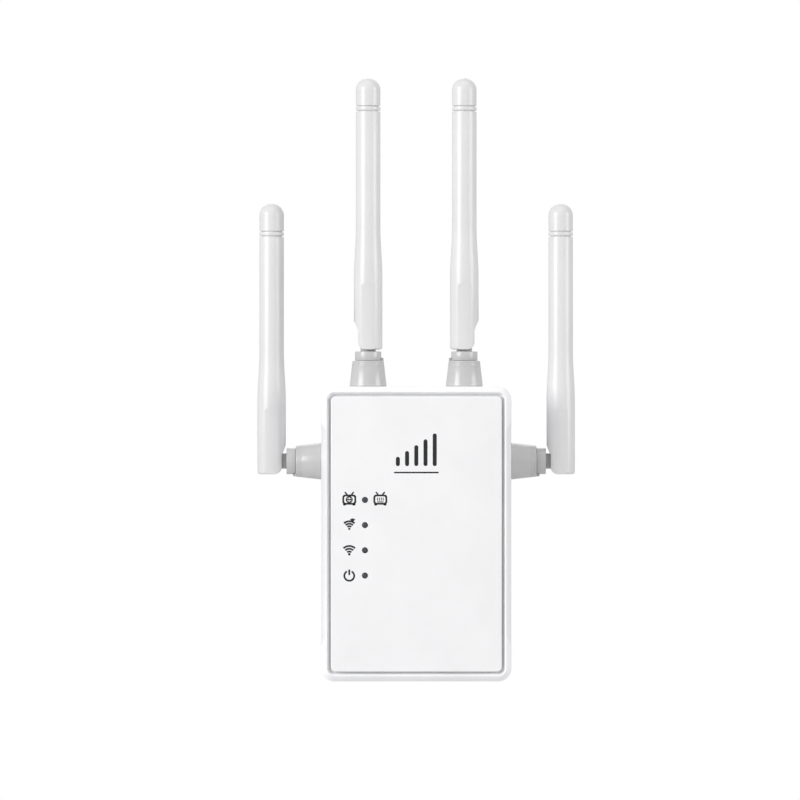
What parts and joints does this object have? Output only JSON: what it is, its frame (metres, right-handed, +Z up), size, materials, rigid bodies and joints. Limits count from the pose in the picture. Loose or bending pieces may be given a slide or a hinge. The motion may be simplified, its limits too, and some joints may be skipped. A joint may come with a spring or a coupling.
{
  "type": "wifi range extender",
  "caption": "Plug-in wireless range extender: a white box with a raised front panel, mains pins on its back, network sockets below and folding rod antennas.",
  "frame": {"origin": "centre of the plug's end face, midway between the two mains pins, where it meets the wall socket", "axes": "+Y along the pins into the wall, -Y out of the front panel, +Z up, +X to the right seen from the front"},
  "size_m": [0.104, 0.055, 0.1967],
  "materials": {
    "shell_white": "fine satin moulded ABS",
    "panel_gloss": "gloss white moulded panel",
    "plated_brass": "nickel-plated brass, turned",
    "black_insulation": "moulded insulating sleeve",
    "zinc_steel": "zinc-plated steel",
    "label_film": "blank printed-film label",
    "smoked_acrylic": "smoked light guide",
    "led_package": "chip LED with clear lens",
    "circuit_board": "solder-masked glass-epoxy board",
    "tinned_steel": "tinned pressed steel",
    "epoxy_black": "moulded epoxy package",
    "gold_plate": "gold-plated contacts",
    "socket_plastic": "glass-filled socket housing",
    "winding_tape": "yellow polyester tape and ferrite",
    "capacitor_sleeve": "shrink sleeve over an aluminium can",
    "fuse_brown": "moulded radial fuse",
    "copper_winding": "enamelled copper winding",
    "header_nylon": "nylon pin header",
    "button_white": "moulded ABS button",
    "coax_jacket": "thin coaxial lead",
    "hinge_nylon": "satin moulded nylon hinge",
    "antenna_white": "satin moulded antenna sleeve",
    "brass_dipole": "sleeve dipole on thin coax"
  },
  "bodies": {
    "casing": {"front_cover": "shell_white", "front_panel": "panel_gloss", "rear_cover": "shell_white", "plug_boss": "shell_white", "plug_pin_left": "plated_brass", "plug_pin_right": "plated_brass", "pin_sleeves": "black_insulation", "case_screws": "zinc_steel", "rear_label": "label_film", "light_guide": "smoked_acrylic", "status_leds": "led_package", "main_board": "circuit_board", "rf_shield": "tinned_steel", "processor_chip": "epoxy_black", "memory_chip": "epoxy_black", "network_transformer": "epoxy_black", "aerial_sockets": "gold_plate", "lan_socket": "socket_plastic", "wan_socket": "socket_plastic", "socket_contacts": "gold_plate", "power_board": "circuit_board", "power_transformer": "winding_tape", "input_capacitor": "capacitor_sleeve", "output_capacitor": "capacitor_sleeve", "mains_fuse": "fuse_brown", "bridge_rectifier": "epoxy_black", "noise_choke": "copper_winding", "board_header": "header_nylon", "pair_switch": "tinned_steel", "reset_switch": "tinned_steel", "antenna_nuts": "zinc_steel", "antenna_leads": "coax_jacket", "base_left_inner": "hinge_nylon", "base_right_inner": "hinge_nylon", "base_left_outer": "hinge_nylon", "base_right_outer": "hinge_nylon"},
    "swivel_left_inner": {"swivel_left_inner": "hinge_nylon"},
    "antenna_left_inner": {"whip_left_inner": "antenna_white", "tip_left_inner": "antenna_white", "hinge_pin_left_inner": "zinc_steel", "aerial_left_inner": "brass_dipole"},
    "swivel_right_inner": {"swivel_right_inner": "hinge_nylon"},
    "antenna_right_inner": {"whip_right_inner": "antenna_white", "tip_right_inner": "antenna_white", "hinge_pin_right_inner": "zinc_steel", "aerial_right_inner": "brass_dipole"},
    "swivel_left_outer": {"swivel_left_outer": "hinge_nylon"},
    "antenna_left_outer": {"whip_left_outer": "antenna_white", "tip_left_outer": "antenna_white", "hinge_pin_left_outer": "zinc_steel", "aerial_left_outer": "brass_dipole"},
    "swivel_right_outer": {"swivel_right_outer": "hinge_nylon"},
    "antenna_right_outer": {"whip_right_outer": "antenna_white", "tip_right_outer": "antenna_white", "hinge_pin_right_outer": "zinc_steel", "aerial_right_outer": "brass_dipole"},
    "pair_button": {"pair_button": "button_white"},
    "reset_button": {"reset_button": "button_white"}
  },
  "joints": [
    {"name": "swivel_turn_left_inner", "type": "hinge", "parent": "casing", "child": "swivel_left_inner", "pos_m": [-0.0157, -0.0252, 0.042], "axis": [0, 0, 1], "range_deg": [-90, 90]},
    {"name": "antenna_fold_left_inner", "type": "hinge", "parent": "swivel_left_inner", "child": "antenna_left_inner", "pos_m": [-0.0157, -0.0252, 0.05835], "axis": [0, -1, 0], "range_deg": [0, 90]},
    {"name": "swivel_turn_right_inner", "type": "hinge", "parent": "casing", "child": "swivel_right_inner", "pos_m": [0.0157, -0.0252, 0.042], "axis": [0, 0, 1], "range_deg": [-90, 90]},
    {"name": "antenna_fold_right_inner", "type": "hinge", "parent": "swivel_right_inner", "child": "antenna_right_inner", "pos_m": [0.0157, -0.0252, 0.05835], "axis": [0, 1, 0], "range_deg": [0, 90]},
    {"name": "swivel_turn_left_outer", "type": "hinge", "parent": "casing", "child": "swivel_left_outer", "pos_m": [-0.031, -0.015, 0.0176], "axis": [-1, 0, 0], "range_deg": [-90, 90]},
    {"name": "antenna_fold_left_outer", "type": "hinge", "parent": "swivel_left_outer", "child": "antenna_left_outer", "pos_m": [-0.04735, -0.015, 0.0176], "axis": [0, -1, 0], "range_deg": [0, 90]},
    {"name": "swivel_turn_right_outer", "type": "hinge", "parent": "casing", "child": "swivel_right_outer", "pos_m": [0.031, -0.015, 0.0176], "axis": [1, 0, 0], "range_deg": [-90, 90]},
    {"name": "antenna_fold_right_outer", "type": "hinge", "parent": "swivel_right_outer", "child": "antenna_right_outer", "pos_m": [0.04735, -0.015, 0.0176], "axis": [0, 1, 0], "range_deg": [0, 90]},
    {"name": "pair_button_press", "type": "slide", "parent": "casing", "child": "pair_button", "axis": [-1, 0, 0], "range_m": [0, 0.0006], "stiffness_N_per_m": 400, "springref_m": -0.002},
    {"name": "reset_button_press", "type": "slide", "parent": "casing", "child": "reset_button", "axis": [0, 0, 1], "range_m": [0, 0.0005], "stiffness_N_per_m": 400, "springref_m": -0.002}
  ]
}
